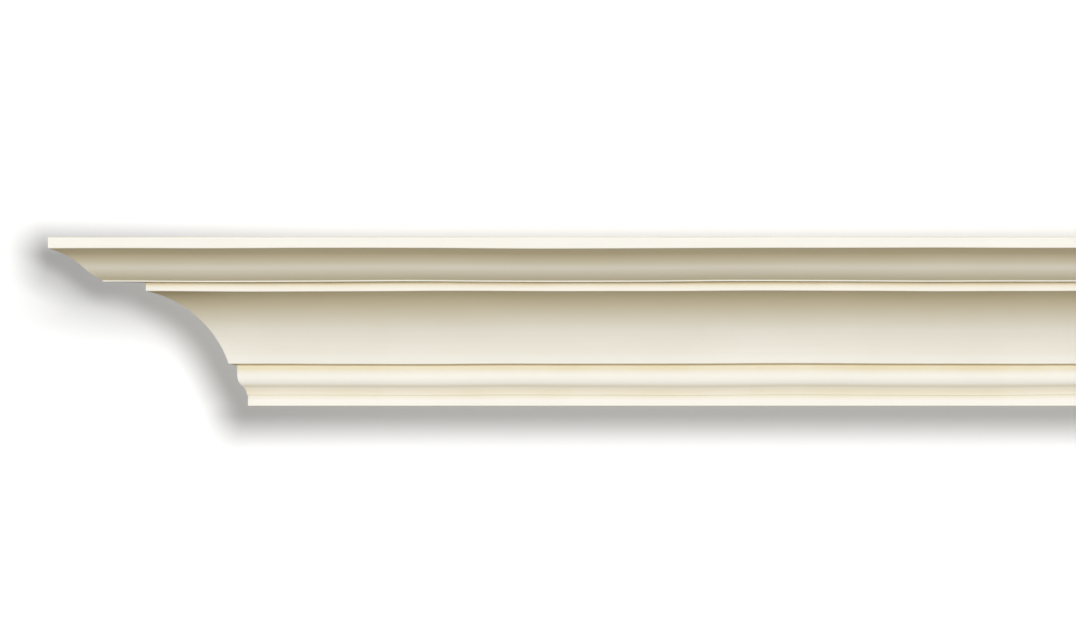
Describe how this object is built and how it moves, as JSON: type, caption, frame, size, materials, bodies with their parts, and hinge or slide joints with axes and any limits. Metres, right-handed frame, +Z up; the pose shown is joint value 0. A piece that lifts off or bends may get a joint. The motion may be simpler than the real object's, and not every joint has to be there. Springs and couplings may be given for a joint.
{
  "type": "crown moulding length",
  "caption": "Straight length of cove crown moulding for a wall and ceiling corner, mitred at the left end and square at the right, moulded in foam with a cream primer.",
  "frame": {"origin": "middle of the flat that is glued to the wall", "axes": "X along the length with the mitred end at -X, +Y into the wall, so the moulding faces -Y, and +Z up to the ceiling"},
  "size_m": [1, 0.15, 0.12],
  "materials": {
    "primed_foam": "cream primer on moulded polyurethane foam, smooth with a low sheen"
  },
  "bodies": {
    "root": {"crown_moulding": "primed_foam"}
  },
  "joints": []
}
